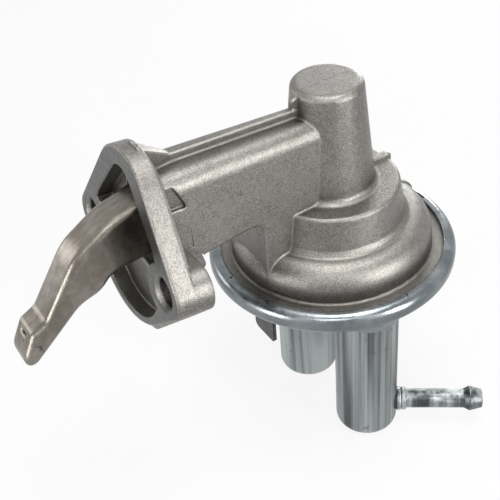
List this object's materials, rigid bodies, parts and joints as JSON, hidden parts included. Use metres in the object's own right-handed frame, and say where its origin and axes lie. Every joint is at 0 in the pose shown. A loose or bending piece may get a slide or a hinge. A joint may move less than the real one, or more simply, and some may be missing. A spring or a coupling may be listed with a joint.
{
  "type": "mechanical fuel pump",
  "caption": "Engine-driven diaphragm fuel pump: cast body with flange and tapered tower, sprung rocker arm, crimped round cover, two drawn cups and beaded hose nipples.",
  "frame": {"origin": "midpoint between the two bolt holes, on the plane of the mounting face", "axes": "+Z along the diaphragm axis towards the tower, cups hang towards -Z; -X points out of the flange towards the engine; +Y completes the right-handed frame"},
  "size_m": [0.183, 0.1186, 0.1545],
  "materials": {
    "casting": "sand-cast grainy grey",
    "zinc_sheet": "bright zinc plate",
    "zinc_cup": "bright zinc plate, drawn",
    "dark_sheet": "dull dark zinc",
    "arm_steel": "oiled hardened steel",
    "pin_steel": "ground steel",
    "spring_steel": "oiled spring steel",
    "rubber": "matt black",
    "valve_plastic": "matt"
  },
  "bodies": {
    "pump": {"body_casting": "casting", "lower_cover": "zinc_sheet", "outlet_cup": "zinc_cup", "inlet_cup": "zinc_cup", "outlet_nipple": "zinc_cup", "inlet_nipple": "zinc_cup", "cover_tab": "dark_sheet", "pivot_pin": "pin_steel", "arm_spring": "spring_steel", "diaphragm": "rubber", "diaphragm_spring": "spring_steel", "rod_seal": "rubber", "seal_retainer": "zinc_sheet", "outlet_valve_seat": "zinc_sheet", "outlet_valve_stem": "pin_steel", "outlet_valve_spring": "spring_steel", "inlet_valve_seat": "zinc_sheet", "inlet_valve_stem": "pin_steel", "inlet_valve_spring": "spring_steel"},
    "arm": {"rocker_arm": "arm_steel", "pivot_bush": "pin_steel", "arm_spring_seat": "pin_steel"},
    "rod": {"pull_rod": "pin_steel", "rod_washer": "pin_steel", "upper_plate": "zinc_sheet", "lower_plate": "zinc_sheet", "rod_rivet": "pin_steel"},
    "outlet_disc": {"outlet_valve_disc": "rubber"},
    "inlet_disc": {"inlet_valve_disc": "rubber"}
  },
  "joints": [
    {"name": "arm_pivot", "type": "hinge", "parent": "pump", "child": "arm", "pos_m": [0.0166, 0, 0.0104], "axis": [0, -1, 0], "range_deg": [0, 4.5], "stiffness_Nm_per_rad": 12, "springref_deg": -6.88, "deforming": ["arm_spring"]},
    {"name": "rod_lift", "type": "slide", "parent": "pump", "child": "rod", "axis": [0, 0, 1], "range_m": [0, 0.0056], "stiffness_N_per_m": 800, "springref_m": -0.01, "deforming": ["diaphragm_spring", "diaphragm"]},
    {"name": "outlet_valve_lift", "type": "slide", "parent": "pump", "child": "outlet_disc", "axis": [0, 0, -1], "range_m": [0, 0.0016], "stiffness_N_per_m": 40, "springref_m": -0.001, "deforming": ["outlet_valve_spring"]},
    {"name": "inlet_valve_lift", "type": "slide", "parent": "pump", "child": "inlet_disc", "axis": [0, 0, 1], "range_m": [0, 0.0016], "stiffness_N_per_m": 40, "springref_m": -0.001, "deforming": ["inlet_valve_spring"]}
  ],
  "couplings": [
    {"joint": "rod_lift", "follows": "arm_pivot", "m_per_rad": 0.0708}
  ]
}
